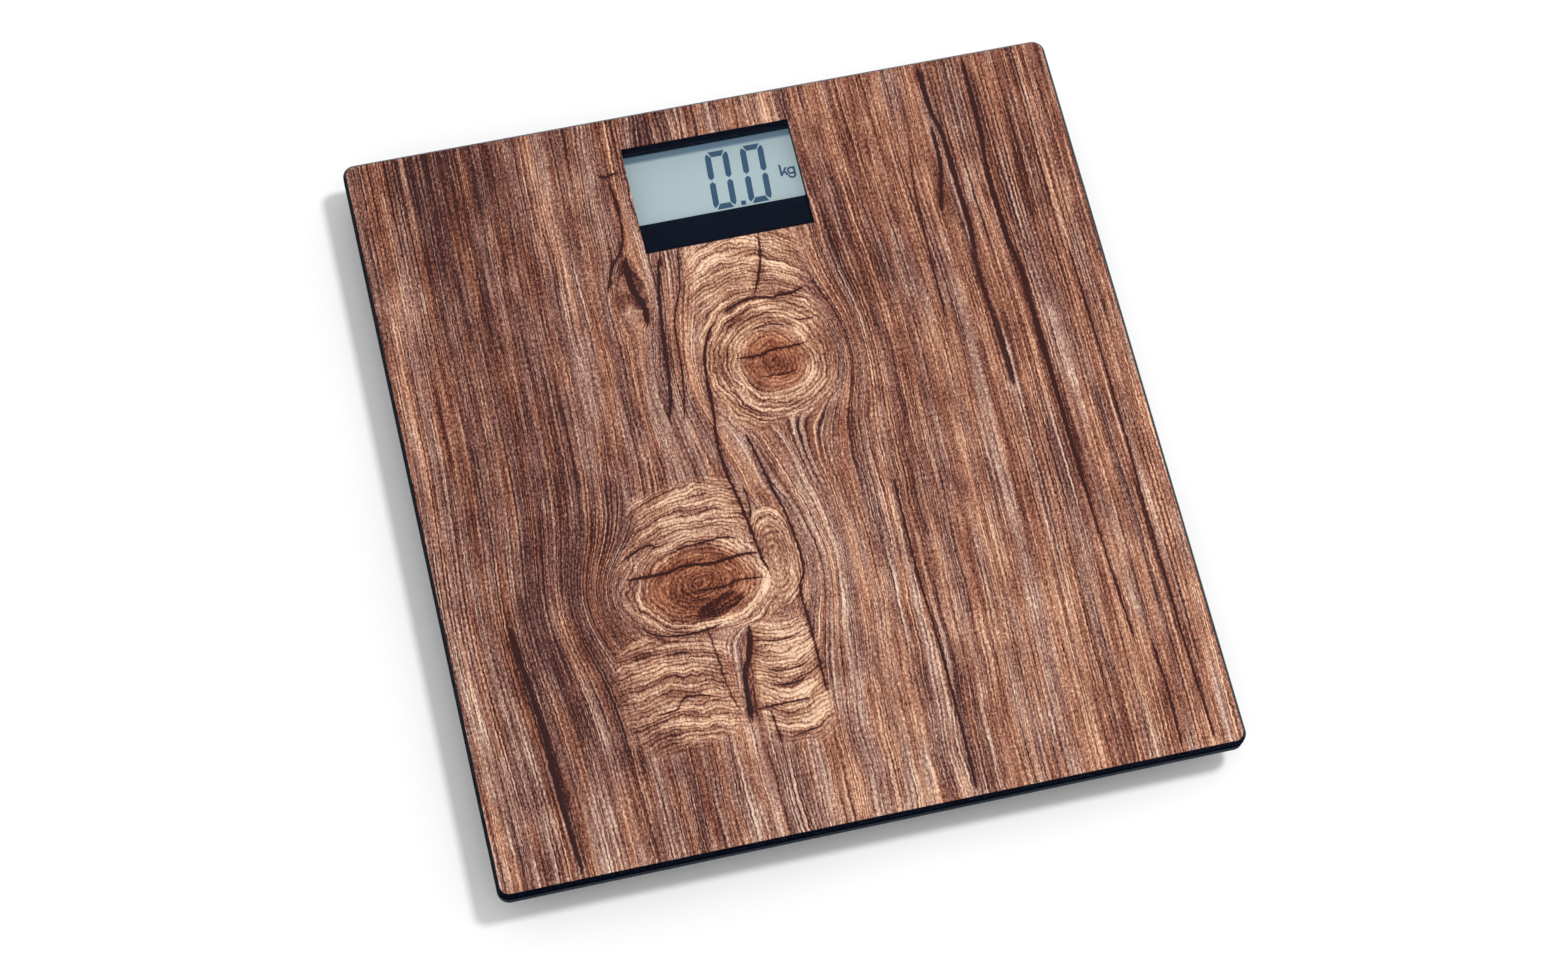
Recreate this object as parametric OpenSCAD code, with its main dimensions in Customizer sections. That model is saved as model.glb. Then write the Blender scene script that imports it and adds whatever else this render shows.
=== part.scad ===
// Digital bathroom scale: a wood-grain glass platform on a slim moulded tray, with an LCD under
// the glass at the rear, four load-cell feet, a coin cell behind a hinged door and a unit button
// on the underside. +X is right, +Y is the display end, +Z is up; the origin is on the floor,
// below the middle of the platform.

/* [Platform] */
// Width of the platform, left to right
platform_w = 300; // [300:1:320]
// Depth of the platform, front to rear
platform_d = 320; // [320:1:340]
// Overall height, floor to standing surface
total_h = 22; // [22:0.1:23]
// Corner radius of the platform in plan
corner_r = 5; // [4:0.5:8]
// Thickness of the tempered glass
glass_t = 4; // [3.8:0.1:4.2]
// Width and height of the polished bevel around the glass
bevel = 1.3; // [1:0.1:1.5]
// Thickness of the wood-grain decor film
film_t = 0.2; // [0.15:0.05:0.25]
// Thickness of the black print under the glass
print_t = 0.15; // [0.1:0.05:0.2]
// Thickness of the foam tape that bonds the glass to the tray
tape_t = 0.6; // [0.5:0.1:0.8]
// Width of the foam tape
tape_w = 8; // [6:0.5:9]

/* [Display] */
// Width of the window cut in the decor film
window_w = 71.2; // [68:0.1:74]
// Depth of the window cut in the decor film
window_d = 49.2; // [48:0.1:50]
// Distance from the platform's rear edge to the window
window_back = 15.6; // [15:0.1:17]
// Width of the clear opening in the black print
aperture_w = 72; // [70:0.1:73]
// Depth of the clear opening in the black print
aperture_d = 33.4; // [32:0.1:34]
// Distance from the window's rear edge to the clear opening
aperture_back = 1.4; // [1.3:0.1:2]
// Height of the digits
digit_h = 26.8; // [24:0.1:27]
// Width of the digits
digit_w = 9.9; // [9:0.1:10.5]
// Width of a digit's strokes
stroke = 2.5; // [2:0.1:2.8]
// Lean of the digits from upright, in degrees
lean = 3.5; // [0:0.5:5]
// Depth of the LCD's face below the black print
lcd_depth = 3.4; // [3:0.1:3.6]

/* [Tray] */
// Height of the tray's visible rim
rim_h = 4.4; // [4:0.1:5]
// Distance from the platform's edge to the tray's deep middle
belly_inset = 12; // [11:0.5:13]
// Height of the tray's underside above the floor
belly_z = 4; // [3.8:0.1:4.2]
// Wall thickness of the tray
wall = 2; // [1.8:0.1:2.2]
// Floor thickness of the tray
floor_t = 1.8; // [1.6:0.1:1.8]
// Thickness of the tray's ribs
rib_t = 1.6; // [1.4:0.1:2]
// Distance between the tray's ribs
rib_pitch = 44; // [44:1:46]

/* [Feet] */
// Distance of the feet from the middle, left and right
foot_x = 106; // [104:1:106]
// Distance of the feet from the middle, front and rear
foot_y = 120; // [116:1:121]
// Radius of a foot cup
foot_r = 17; // [16:0.5:18]
// Height of a foot pad
pad_h = 2; // [1.8:0.1:2.2]
// Side length of a load cell
cell_w = 34; // [34:0.5:35]
// Thickness of a load cell
cell_t = 1.5; // [1.2:0.1:1.6]
// Height of the load cells' underside above the floor
cell_z = 8.6; // [8.5:0.1:8.8]

/* [Battery and button] */
// Radius of the coin cell
coin_r = 10; // [9.8:0.1:10]
// Thickness of the coin cell
coin_t = 3.2; // [3:0.1:3.2]
// Width of the battery door
door_w = 30; // [30:0.5:32]
// Length of the battery door, hinge axis to free edge
door_l = 30; // [30:0.5:31]
// Thickness of the battery door
door_t = 1.6; // [1.4:0.1:1.6]
// Radius of the unit button
button_r = 4; // [3.5:0.1:4.5]
// Diameter of a wire over its insulation
wire_d = 1; // [0.8:0.1:1.1]

/* [Hidden] */
$fn = 64;
eps = 0.01;
clearance = 0.2;
running_fit = 0.05;

// The stack under the standing surface, from the top down
glass_top = total_h - film_t;
glass_bottom = glass_top - glass_t;
ink_gap = 0.02;
print_bottom = glass_bottom - ink_gap - print_t;
tray_top = print_bottom - tape_t;
lcd_top = print_bottom - lcd_depth;

// Tray
tray_inset = 0.2;
tray_w = platform_w - 2 * tray_inset;
tray_d = platform_d - 2 * tray_inset;
tray_r = corner_r - tray_inset;
rim_z = tray_top - rim_h;
rim_bevel = 1;
flange_t = 2;
belly_w = platform_w - 2 * belly_inset;
belly_d = platform_d - 2 * belly_inset;
belly_r = 14;
belly_bevel = 1.2;
floor_top = belly_z + floor_t;
gusset_pitch = 32;
gusset_drop = 0.8;

// Display window, clear opening and LCD
window_y = platform_d / 2 - window_back - window_d / 2;
aperture_y = window_y + window_d / 2 - aperture_back - aperture_d / 2;
aperture_r = 1.5;
lcd_w = 76;
lcd_d = 36;
lcd_t = 1.6;
reflector_t = 0.2;
lcd_bottom = lcd_top - lcd_t;
segment_t = 0.08;
frame_w = 84;
frame_d = 41.2;
frame_y = aperture_y - 1.2;
screw_hole_depth = 5;
display_screw_r = 0.75;
display_screw_l = 5.2;
display_head_r = 1.7;
display_head_h = 1.1;

// Digits and unit, from the lower left corner of a digit
segment_gap = 0.35;
segment_end = digit_h / 2 - segment_gap;
bar_inset = stroke + 0.3;
upright = [
  [0, stroke + 0.2], [0.35, 1.5], [0.95, 0.85], [stroke, stroke + 0.1],
  [stroke, segment_end - stroke / 2], [stroke / 2, segment_end], [0, segment_end - stroke / 2]
];
bar = [[1.5, 0], [digit_w - 1.5, 0], [digit_w - bar_inset, stroke], [bar_inset, stroke]];
digit_columns = [-2.8, 12.2];
digit_base = 2.4;
point_x = 8.9;
point_w = 2;
letter_line = 9.8;
letter_x = [27.9, 32.7];
letter_h = 5.3;
letter_stroke = 0.9;
bowl_r = 1.75;
bowl_hole_r = 0.95;
bowl_drop = 1.9;

// Circuit board and what is on it
board_w = 92;
board_d = 48;
board_t = 1.6;
board_z = 9.2;
board_top = board_z + board_t;
board_y = window_y + 1;
bay_w = 100;
bay_d = 54;
zebra_w = 60;
zebra_d = 2;
screw_x = 40.1;
screw_rows = [-18, 14];
post_r = 2.5;
post_x = 34;
post_y = 20;

// Parts on the board
blob_r = [6, 5.4, 4];
blob_h = [0.6, 0.4];
blob_x = 6;
chip_count = 8;
chip_pitch = 3.2;
chip_start = [-30, -6];
chip_size = [2, 1.2, 0.6];
chip_row_gap = 9;
crystal_at = [30, -8];
crystal_r = 1;
crystal_l = 6;
capacitor_at = [12, -10];
capacitor_r = 1.5;
capacitor_l = 8;

// Feet, load cells and their pockets
pocket_w = cell_w + 3;
pocket_wall = 1.6;
pocket_roof = 11.2;
pocket_top = pocket_roof + pocket_wall;
ear_x = 23;
ear_w = 10;
ear_d = 13;
ear_z = 4.6;
ear_t = 1.8;
retainer_hole_r = 13.2;
neck_r = 11;
pad_r = foot_r - 2;
cup_z = 1.2;
cup_t = 2.2;
tongue_w = 13;
slot_w = 24;
cell_r = 3;
cell_hole_x = 14;
neck_back = 3.4;
neck_cut_r = 1.4;
gauge_x = 9.5;
gauge_size = [4, 6];
gauge_t = 0.12;
retainer_w = pocket_w - 3 * clearance;
retainer_screw_r = 1.2;
retainer_screw_l = 6.2;
retainer_head_r = 2.4;
retainer_head_h = 1.3;
gauge_bore_r = 2.8;
boss_w = 10;
boss_z = 6;
neck_top = 6.6;
cup_edge = 0.6;

// Battery compartment
battery_x = 22;
battery_y = 55;
hinge_y = battery_y - 15;
hinge_z = 5.2;
knuckle_r = hinge_z - belly_z;
hinge_pin_r = 0.8;
hinge_pin_l = 1.6;
door_gap = 0.3;
box_wall = 2.5;
box_top = 12.4;
box_roof = 10.9;
ledge_z = belly_z + door_t + 0.15;
coin_z = 5.9;
strip_t = 0.3;
chamber_w = 25;
chamber_y = battery_y + 1;
battery_wire_y = chamber_y + chamber_w / 2 - 2;
latch_slot = [10, 4.4];
latch_w = 8;
latch_h = 3;
latch_inset = 2.2;
grip_pitch = 2;
grip_w = 10;
grip_slot = [0.8, 0.4];
leaf_l = 12;
tab_d = 6;

// Unit button and its switch
button_x = -28;
button_y = 112;
switch_w = 5.2;
switch_t = 1.5;
switch_z = board_z - switch_t;
plunger_r = 1.3;
plunger_h = 0.8;
plunger_bore = 0.9;
plunger_z = switch_z - 0.5;
flange_r = button_r + 1.6;
flange_h = 0.8;
button_z = belly_z + 0.2;

// Wires
wire_z = 14.2;
wire_pitch = 1.3;
wire_turn_x = 88;
front_row_y = 108;
pad_x = 44;
battery_wire_x = 6;
battery_pad_y = 98.5;
channel_w = 6;
channel_h = 3.4;

// ---- shapes shared by several parts ----

// Flat outline with round corners
module rounded_rect(w, d, r) {
  square([w - 2 * r, d], center = true);
  square([w, d - 2 * r], center = true);
  for (x = [-1, 1], y = [-1, 1])
    translate([x * (w / 2 - r), y * (d / 2 - r)]) circle(r);
}

module rounded_plate(w, d, r, h) {
  linear_extrude(h) rounded_rect(w, d, r);
}

// Section of a plate whose two upper edges are cut at 45 degrees
function bevel_section(w, h, b) = [
  [-w / 2, 0], [w / 2, 0], [w / 2, h - b], [w / 2 - b, h], [-w / 2 + b, h], [-w / 2, h - b]
];

// Rounded plate with a 45 degree bevel all round its upper edge
module bevelled_plate(w, d, r, h, b) {
  rotate([90, 0, 0])
    linear_extrude(d - 2 * r, center = true) polygon(bevel_section(w, h, b));
  rotate([90, 0, 90])
    linear_extrude(w - 2 * r, center = true) polygon(bevel_section(d, h, b));
  for (x = [-1, 1], y = [-1, 1])
    translate([x * (w / 2 - r), y * (d / 2 - r), 0]) {
      cylinder(h = h - b, r = r);
      translate([0, 0, h - b]) cylinder(h = b, r1 = r, r2 = r - b);
    }
}

// The same plate with the bevel around its lower edge
module bevelled_tub(w, d, r, h, b) {
  translate([0, 0, h]) mirror([0, 0, 1]) bevelled_plate(w, d, r, h, b);
}

// Box that is centred in plan and stands on z
module block(w, d, h, z = 0) {
  translate([-w / 2, -d / 2, z]) cube([w, d, h]);
}

// Places a child at one foot, turned so that its own +X points to the middle of the platform
module at_foot(side, end) {
  translate([side * foot_x, end * foot_y, 0]) rotate([0, 0, side > 0 ? 180 : 0]) children();
}

module at_feet() {
  for (side = [-1, 1], end = [-1, 1]) at_foot(side, end) children();
}

// Self-tapping screw, head down, with its head's upper face at z = 0
module screw(shank_r, shank_l, head_r, head_h) {
  cross_w = head_r * 0.3;
  cross_l = head_r * 1.1;
  cylinder(h = shank_l - shank_r, r = shank_r);
  translate([0, 0, shank_l - shank_r]) cylinder(h = shank_r, r1 = shank_r, r2 = shank_r * 0.3);
  difference() {
    translate([0, 0, -head_h]) {
      cylinder(h = head_h * 0.4, r1 = head_r * 0.8, r2 = head_r);
      translate([0, 0, head_h * 0.4]) cylinder(h = head_h * 0.6, r = head_r);
    }
    for (turn = [0, 90]) rotate([0, 0, turn]) block(cross_l, cross_w, head_h * 0.6, -head_h - eps);
  }
}

// Round wire along a list of points, with a ball in each bend
module wire(points) {
  for (i = [0 : len(points) - 2]) {
    run = points[i + 1] - points[i];
    length = norm(run);
    translate(points[i])
      rotate([0, acos(run.z / length), atan2(run.y, run.x)])
        cylinder(h = length, d = wire_d, $fn = 24);
    if (i > 0) translate(points[i]) sphere(d = wire_d, $fn = 24);
  }
}

// Route of one sensor wire on the right-hand side; lane is -1, 0 or 1 across the bundle
function sensor_route(end, lane) =
  let (o = lane * wire_pitch, start = foot_x - gauge_x, row = end > 0 ? foot_y : front_row_y)
  concat(
    [[start, end * foot_y + o, cell_z + cell_t + gauge_t], [start, end * foot_y + o, wire_z]],
    end > 0 ? [] : [[wire_turn_x + o, -foot_y + o, wire_z], [wire_turn_x + o, row + o, wire_z]],
    [[pad_x, row + o, wire_z], [pad_x, row + o, board_top]]
  );

// Route of one battery lead; side is -1 or 1 from the middle of the battery compartment
function battery_route(side) =
  let (x = battery_x + side * battery_wire_x, y = battery_wire_y)
  [[x, y, box_roof], [x, y, wire_z], [x, battery_pad_y, wire_z], [x, battery_pad_y, board_top]];

// ---- platform ----

module window_outline() {
  translate([0, window_y]) square([window_w, window_d], center = true);
}

module aperture_outline() {
  translate([0, aperture_y]) {
    rounded_rect(aperture_w, aperture_d, aperture_r);
    translate([0, aperture_d / 4]) square([aperture_w, aperture_d / 2], center = true);
  }
}

module decor_film() {
  color("peru") translate([0, 0, glass_top]) linear_extrude(film_t) difference() {
    rounded_rect(platform_w - 2 * bevel, platform_d - 2 * bevel, corner_r - bevel);
    window_outline();
  }
}

module glass_platform() {
  color([0.55, 0.66, 0.64, 0.35]) translate([0, 0, glass_bottom])
    bevelled_plate(platform_w, platform_d, corner_r, glass_t, bevel);
}

module back_print() {
  color([0.02, 0.02, 0.05]) translate([0, 0, print_bottom]) linear_extrude(print_t) difference() {
    rounded_rect(platform_w - 2 * tray_inset, platform_d - 2 * tray_inset, tray_r);
    aperture_outline();
  }
}

module platform_tape() {
  edge = 1.2;
  color("dimgray") translate([0, 0, tray_top]) linear_extrude(tape_t) difference() {
    rounded_rect(tray_w - 2 * edge, tray_d - 2 * edge, tray_r - edge);
    rounded_rect(tray_w - 2 * (edge + tape_w), tray_d - 2 * (edge + tape_w), tray_r - edge);
  }
}

// ---- tray ----

// Shell: rim, top flange and deep middle
module tray_shell() {
  difference() {
    union() {
      translate([0, 0, rim_z]) bevelled_tub(tray_w, tray_d, tray_r, rim_h, rim_bevel);
      translate([0, 0, belly_z])
        bevelled_tub(belly_w, belly_d, belly_r, tray_top - belly_z, belly_bevel);
    }
    translate([0, 0, floor_top])
      rounded_plate(belly_w - 2 * wall, belly_d - 2 * wall, belly_r - wall, tray_top);
    translate([0, 0, rim_z - eps]) linear_extrude(rim_h - flange_t + eps) difference() {
      rounded_rect(tray_w - 2 * wall, tray_d - 2 * wall, tray_r - wall);
      rounded_rect(belly_w, belly_d, belly_r);
    }
  }
}

// Short ribs that join the rim to the deep middle, under the flange
module tray_gussets() {
  h = rim_h - flange_t - gusset_drop;
  reach = belly_inset - tray_inset - wall;
  for (side = [-1, 1]) {
    for (y = [-4 : 4])
      translate([side * (belly_w + reach) / 2, y * gusset_pitch, rim_z + gusset_drop])
        block(reach + eps, rib_t, h + eps);
    for (x = [-4 : 4])
      translate([x * gusset_pitch, side * (belly_d + reach) / 2, rim_z + gusset_drop])
        block(rib_t, reach + eps, h + eps);
  }
}

// Grid of ribs that carries the glass, open around the display
module tray_ribs() {
  h = print_bottom - floor_top;
  difference() {
    translate([0, 0, floor_top - eps]) {
      for (x = [-2.5 : 2.5]) translate([x * rib_pitch, 0, 0]) block(rib_t, belly_d - wall, h + eps);
      for (y = [-3 : 3]) translate([0, y * rib_pitch, 0]) block(belly_w - wall, rib_t, h + eps);
    }
    translate([0, board_y, floor_top]) block(bay_w, bay_d, h + 1);
  }
}

// Housing of one load cell, solid
module pocket_block() {
  outer_w = pocket_w + 2 * pocket_wall;
  translate([0, 0, belly_z]) block(outer_w, outer_w, pocket_top - belly_z);
  for (side = [-1, 1]) translate([side * ear_x, 0, 0]) {
    block(ear_w + 2 * pocket_wall, ear_d + 2 * pocket_wall, ear_z + ear_t + pocket_wall - belly_z, belly_z);
    translate([0, 0, belly_z]) cylinder(h = pocket_top - belly_z, r = retainer_screw_r + 2);
  }
}

// Space cut out of that housing, from below
module pocket_space() {
  bar_d = 4; // bars that press on the load cell's frame
  depth = pocket_roof - belly_z + 1;
  difference() {
    block(pocket_w, pocket_w, depth, belly_z - 1);
    for (side = [-1, 1])
      translate([0, side * (cell_w - bar_d) / 2, 0])
        block(cell_w, bar_d, pocket_roof, cell_z + cell_t);
  }
  for (side = [-1, 1]) translate([side * ear_x, 0, 0]) {
    block(ear_w + 2 * clearance, ear_d + 2 * clearance, ear_z + ear_t - belly_z + 1, belly_z - 1);
    translate([0, 0, belly_z]) cylinder(h = pocket_roof - belly_z, r = retainer_screw_r + running_fit);
  }
  translate([gauge_x, 0, pocket_roof - eps]) cylinder(h = pocket_wall + 1, r = gauge_bore_r);
}

// Housing of the battery, solid
module battery_block() {
  length = door_l + knuckle_r + 2 * box_wall;
  translate([battery_x, hinge_y - knuckle_r - box_wall + length / 2, belly_z])
    block(door_w + 2 * box_wall, length, box_top - belly_z);
}

// Space cut out of that housing: door recess, hinge bores, coin chamber and contact slots
module battery_space() {
  recess_l = door_l + knuckle_r + 2 * door_gap;
  translate([battery_x, hinge_y - knuckle_r - door_gap + recess_l / 2, belly_z - 1])
    block(door_w + 2 * clearance, recess_l, ledge_z - belly_z + 1);
  translate([battery_x, hinge_y, 0]) {
    block(door_w + 2 * clearance, 2 * (knuckle_r + door_gap), 2 * knuckle_r + door_gap, belly_z);
    translate([0, 0, hinge_z]) rotate([0, 90, 0])
      cylinder(h = door_w + 2 * hinge_pin_l + 1, r = hinge_pin_r + running_fit, center = true);
  }
  translate([battery_x, chamber_y, belly_z]) block(chamber_w, chamber_w, box_roof - belly_z);
  translate([battery_x, hinge_y + door_l - latch_slot.y / 2 - 0.4, belly_z])
    block(latch_slot.x, latch_slot.y, box_roof - belly_z - 1);
  for (side = [-1, 1])
    translate([battery_x + side * battery_wire_x, battery_wire_y, box_roof - eps])
      cylinder(h = box_top, d = wire_d + 2 * clearance);
}

// Straight channels through the ribs, one block per horizontal run of wire
module wire_channels() {
  for (mirrored = [0, 1], end = [-1, 1]) mirror([mirrored, 0, 0])
    channel_runs(sensor_route(end, 0));
  for (side = [-1, 1]) channel_runs(battery_route(side));
}

module channel_runs(points) {
  for (i = [0 : len(points) - 2]) {
    a = points[i];
    b = points[i + 1];
    if (a.z == b.z)
      translate([(a.x + b.x) / 2, (a.y + b.y) / 2, wire_z - channel_h / 2 + 0.4])
        block(abs(a.x - b.x) + channel_w, abs(a.y - b.y) + channel_w, channel_h);
  }
}

module board_posts() {
  for (x = [-post_x, post_x], y = [-post_y, post_y])
    translate([x, board_y + y, floor_top - eps]) cylinder(h = board_z - floor_top + eps, r = post_r);
}

module base_tray() {
  color([0.2, 0.24, 0.29]) difference() {
    union() {
      tray_shell();
      tray_gussets();
      difference() {
        tray_ribs();
        wire_channels();
      }
      board_posts();
      at_feet() pocket_block();
      battery_block();
    }
    at_feet() pocket_space();
    battery_space();
    translate([button_x, button_y, belly_z - 1])
      cylinder(h = floor_t + 2, r = button_r + clearance);
  }
}

// ---- display ----

module display_frame() {
  color([0.05, 0.05, 0.07]) difference() {
    translate([0, frame_y, board_top]) block(frame_w, frame_d, print_bottom - board_top);
    translate([0, 0, board_top]) linear_extrude(total_h) aperture_outline();
    translate([0, aperture_y, board_top - 1])
      block(lcd_w + 2 * clearance, lcd_d + 2 * clearance, lcd_top - board_top + 1);
    for (x = [-1, 1], y = screw_rows) translate([x * screw_x, aperture_y + y, board_top - 1])
      cylinder(h = screw_hole_depth, r = display_screw_r + running_fit);
  }
}

module lcd_panel() {
  color([0.69, 0.77, 0.79]) translate([0, aperture_y, lcd_bottom + reflector_t])
    block(lcd_w, lcd_d, lcd_t - reflector_t);
}

module lcd_reflector() {
  color("silver") translate([0, aperture_y, lcd_bottom]) block(lcd_w, lcd_d - 2 * zebra_d - 2, reflector_t);
}

module zebra_strips() {
  color("dimgray") for (side = [-1, 1])
    translate([0, aperture_y + side * (lcd_d - zebra_d) / 2, board_top])
      block(zebra_w, zebra_d, lcd_bottom + reflector_t - board_top);
}

// Digit outline points, in a frame whose origin is the digit's lower left corner
function lean_point(p) = [p.x + p.y * tan(lean), p.y];
function flip_point(p, fx, fy) = [fx ? digit_w - p.x : p.x, fy ? digit_h - p.y : p.y];
function stroke_points(points, fx, fy) = [for (p = points) lean_point(flip_point(p, fx, fy))];

module digit_nought() {
  for (fx = [false, true], fy = [false, true]) polygon(stroke_points(upright, fx, fy));
  for (fy = [false, true]) polygon(stroke_points(bar, false, fy));
}

// The letters of the unit, drawn from plain strokes
module letter_k() {
  square([letter_stroke, letter_h]);
  polygon([[0.8, 1.4], [2.3, 3.7], [3.4, 3.7], [0.8, 0.2]]);
  polygon([[1.3, 2.1], [2.0, 2.6], [3.6, 0], [2.5, 0]]);
}

module bowl_ring() {
  difference() {
    circle(bowl_r);
    circle(bowl_hole_r);
  }
}

module letter_g() {
  bowl_ring();
  translate([letter_stroke, -bowl_drop - 0.3]) square([bowl_r - letter_stroke, 3.9]);
  translate([0, -bowl_drop]) difference() {
    bowl_ring();
    translate([-bowl_r - 1, -0.1]) square(2 * (bowl_r + 1));
  }
}

module lcd_segments() {
  color([0.32, 0.4, 0.52]) translate([0, aperture_y - aperture_d / 2 + digit_base, lcd_top])
    linear_extrude(segment_t) {
      for (x = digit_columns) translate([x, 0]) digit_nought();
      translate([point_x, 0]) square(point_w);
      translate([letter_x[0], letter_line]) letter_k();
      translate([letter_x[1], letter_line + bowl_drop]) letter_g();
    }
}

// ---- electronics ----

module main_board() {
  color("darkgreen") difference() {
    translate([0, board_y, board_z]) block(board_w, board_d, board_t);
    for (x = [-1, 1], y = screw_rows) translate([x * screw_x, aperture_y + y, board_z - 1])
      cylinder(h = board_t + 2, r = display_screw_r + clearance);
  }
}

module display_screws() {
  color("silver") for (x = [-1, 1], y = screw_rows)
    translate([x * screw_x, aperture_y + y, board_z])
      screw(display_screw_r, display_screw_l, display_head_r, display_head_h);
}

module chip_blob() {
  color([0.08, 0.08, 0.09]) translate([blob_x, aperture_y, board_top]) {
    cylinder(h = blob_h[0], r1 = blob_r[0], r2 = blob_r[1]);
    translate([0, 0, blob_h[0]]) cylinder(h = blob_h[1], r1 = blob_r[1], r2 = blob_r[2]);
  }
}

module smd_parts() {
  color("tan") for (i = [0 : chip_count - 1])
    translate([chip_start.x + chip_pitch * i, aperture_y + chip_start.y + (i % 2) * chip_row_gap, board_top])
      block(chip_size.x, chip_size.y, chip_size.z);
}

module clock_crystal() {
  color("silver") translate([crystal_at.x, board_y + crystal_at.y, board_z - crystal_r])
    rotate([0, 90, 0]) cylinder(h = crystal_l, r = crystal_r, center = true);
}

module buffer_capacitor() {
  color([0.15, 0.17, 0.3])
    translate([capacitor_at.x, board_y + capacitor_at.y, board_z - capacitor_r])
      rotate([0, 90, 0]) cylinder(h = capacitor_l, r = capacitor_r, center = true);
}

module tact_switch() {
  color("gray") translate([button_x, button_y, switch_z]) difference() {
    block(switch_w, switch_w, switch_t);
    translate([0, 0, -1]) cylinder(h = 1 + plunger_bore, r = plunger_r + running_fit);
  }
}

module switch_plunger() {
  color("black") translate([button_x, button_y, plunger_z]) cylinder(h = plunger_h, r = plunger_r);
}

module unit_button() {
  dish_h = 0.3;
  step_h = 0.4;
  color([0.75, 0.77, 0.8]) translate([button_x, button_y, 0]) difference() {
    union() {
      translate([0, 0, button_z]) cylinder(h = plunger_z - button_z, r = button_r);
      translate([0, 0, floor_top]) cylinder(h = flange_h, r = flange_r);
    }
    translate([0, 0, button_z - eps]) cylinder(h = dish_h, r1 = button_r * 0.75, r2 = button_r * 0.4);
    translate([0, 0, plunger_z - step_h]) difference() {
      cylinder(h = 1, r = button_r + 1);
      cylinder(h = 1, r = plunger_r + 0.7);
    }
  }
}

// ---- battery ----

module coin_cell() {
  cap_r = coin_r - 1;
  color("silver") translate([battery_x, chamber_y, coin_z]) {
    cylinder(h = 0.3, r1 = coin_r - 0.3, r2 = coin_r);
    translate([0, 0, 0.3]) cylinder(h = coin_t - 0.7, r = coin_r);
    translate([0, 0, coin_t - 0.4]) cylinder(h = 0.4, r = cap_r);
  }
}

// Side view of the spring strip that presses on the top of the cell
function leaf_section(l, drop) = [
  [0, 0], [0, -strip_t], [l - 2.4, -drop], [l - 1.6, -drop], [l, -drop / 2],
  [l - 0.3, -drop / 2 + 0.2], [l - 1.7, -drop + strip_t], [l - 2.3, -drop + strip_t], [0.9, 0]
];

module battery_contact_negative() {
  drop = box_roof - coin_z - coin_t;
  back = battery_wire_y - 2;
  leaf_w = 4;
  color("silver") {
    translate([battery_x - 2, back, box_roof]) rotate([90, 0, -90])
      linear_extrude(leaf_w, center = true) polygon(leaf_section(leaf_l, drop));
    translate([battery_x - 5.2, back + 1.6, box_roof - strip_t]) block(7, leaf_w, strip_t);
  }
}

module battery_contact_positive() {
  side_x = battery_x + coin_r + running_fit;
  low = coin_z + 0.5;
  color("silver") {
    translate([side_x, chamber_y - tab_d / 2, low]) cube([strip_t, tab_d, coin_t - 1]);
    translate([side_x, chamber_y + tab_d / 2 - eps, low]) cube([strip_t, tab_d, box_roof - low]);
    translate([side_x - tab_d, chamber_y + 5.6, box_roof - strip_t]) cube([tab_d + eps, tab_d, strip_t]);
  }
}

module battery_lead_positive() {
  color("red") wire(battery_route(1));
}

module battery_lead_negative() {
  color([0.1, 0.1, 0.1]) wire(battery_route(-1));
}

module battery_door() {
  tongue_d = 1;
  color([0.2, 0.24, 0.29]) difference() {
    union() {
      translate([battery_x, hinge_y + door_l / 2, belly_z]) block(door_w, door_l, door_t);
      translate([battery_x, hinge_y, hinge_z]) rotate([0, 90, 0])
        cylinder(h = door_w, r = knuckle_r, center = true);
      translate([battery_x, hinge_y, hinge_z]) rotate([0, 90, 0])
        cylinder(h = door_w + 2 * hinge_pin_l, r = hinge_pin_r, center = true);
      translate([battery_x, hinge_y + door_l - latch_inset, belly_z + door_t - eps])
        block(latch_w, tongue_d, latch_h);
    }
    for (i = [0 : 3]) translate([battery_x, hinge_y + door_l - 5 - grip_pitch * i, belly_z - eps])
      block(grip_w, grip_slot.x, grip_slot.y);
  }
}

// ---- load cells and feet ----

// Square steel plate with a tongue, joined to the frame on its +X side
module load_cell_plate() {
  translate([0, 0, cell_z]) linear_extrude(cell_t) difference() {
    union() {
      difference() {
        rounded_rect(cell_w, cell_w, cell_r);
        square(slot_w, center = true);
      }
      translate([2, 0]) square([slot_w - 3, tongue_w], center = true);
    }
    for (x = [-cell_hole_x, cell_hole_x], y = [-cell_hole_x, cell_hole_x]) translate([x, y]) circle(1);
    for (side = [-1, 1]) translate([gauge_x - neck_back, side * (tongue_w / 2 + 0.2)]) circle(neck_cut_r);
  }
}

module sensor_retainer() {
  color([0.85, 0.86, 0.87]) difference() {
    union() {
      translate([0, 0, ear_z]) rounded_plate(retainer_w, retainer_w, 1, cell_z - ear_z);
      for (side = [-1, 1]) translate([side * ear_x, 0, ear_z]) block(ear_w, ear_d, ear_t);
    }
    translate([0, 0, ear_z - 1]) cylinder(h = cell_z, r = retainer_hole_r);
    for (side = [-1, 1]) translate([side * ear_x, 0, ear_z - 1])
      cylinder(h = ear_t + 2, r = retainer_screw_r + 0.3);
  }
}

module retainer_screws() {
  color("silver") at_feet() for (side = [-1, 1])
    translate([side * ear_x, 0, ear_z]) 
      screw(retainer_screw_r, retainer_screw_l, retainer_head_r, retainer_head_h);
}

module strain_gauges() {
  color("goldenrod") at_feet() translate([gauge_x, 0, cell_z + cell_t]) 
    block(gauge_size.x, gauge_size.y, gauge_t);
}

module load_cell(side, end) {
  color("silver") at_foot(side, end) load_cell_plate();
}

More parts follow.
